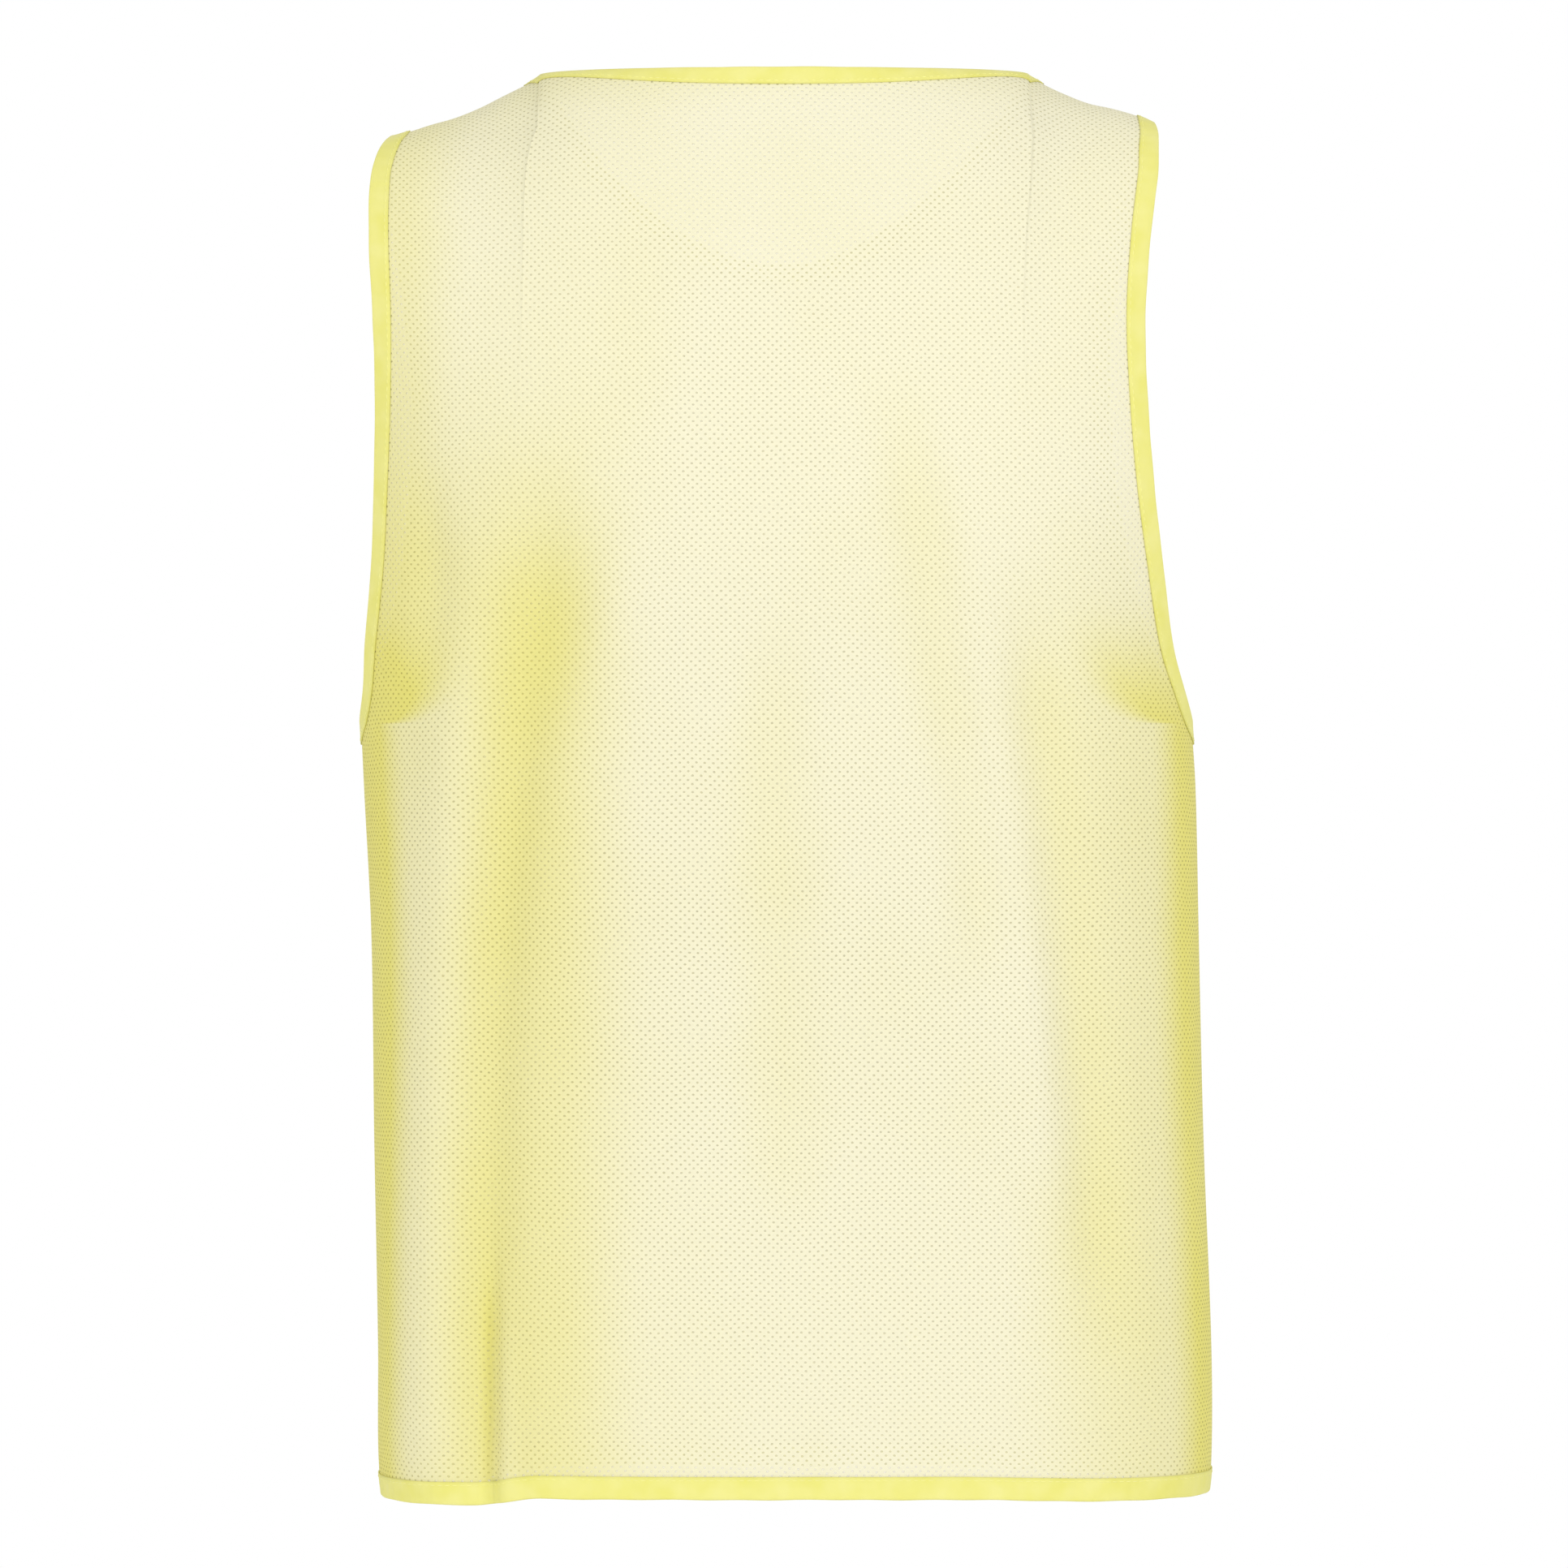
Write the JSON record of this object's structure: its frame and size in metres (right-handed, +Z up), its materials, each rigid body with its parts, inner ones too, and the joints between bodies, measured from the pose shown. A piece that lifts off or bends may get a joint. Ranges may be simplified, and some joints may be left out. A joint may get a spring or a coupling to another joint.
{
  "type": "training bib",
  "caption": "Sleeveless mesh training bib, filled out as worn, with folded tape binding the neck, armholes and hem.",
  "frame": {"origin": "on the wearer's shoulder line, midway between the shoulders, where the garment hangs", "axes": "+Z up, the back of the garment towards -Y, the front towards +Y, +X to the wearer's right"},
  "size_m": [0.4166, 0.2363, 0.6921],
  "materials": {
    "mesh_cloth": "fine pale yellow mesh",
    "binding_tape": "yellow folded tape"
  },
  "bodies": {
    "root": {"back_panel": "mesh_cloth", "front_panel": "mesh_cloth", "neck_binding": "binding_tape", "armhole_binding_left": "binding_tape", "armhole_binding_right": "binding_tape", "hem_binding_back": "binding_tape", "hem_binding_front": "binding_tape"}
  },
  "joints": []
}
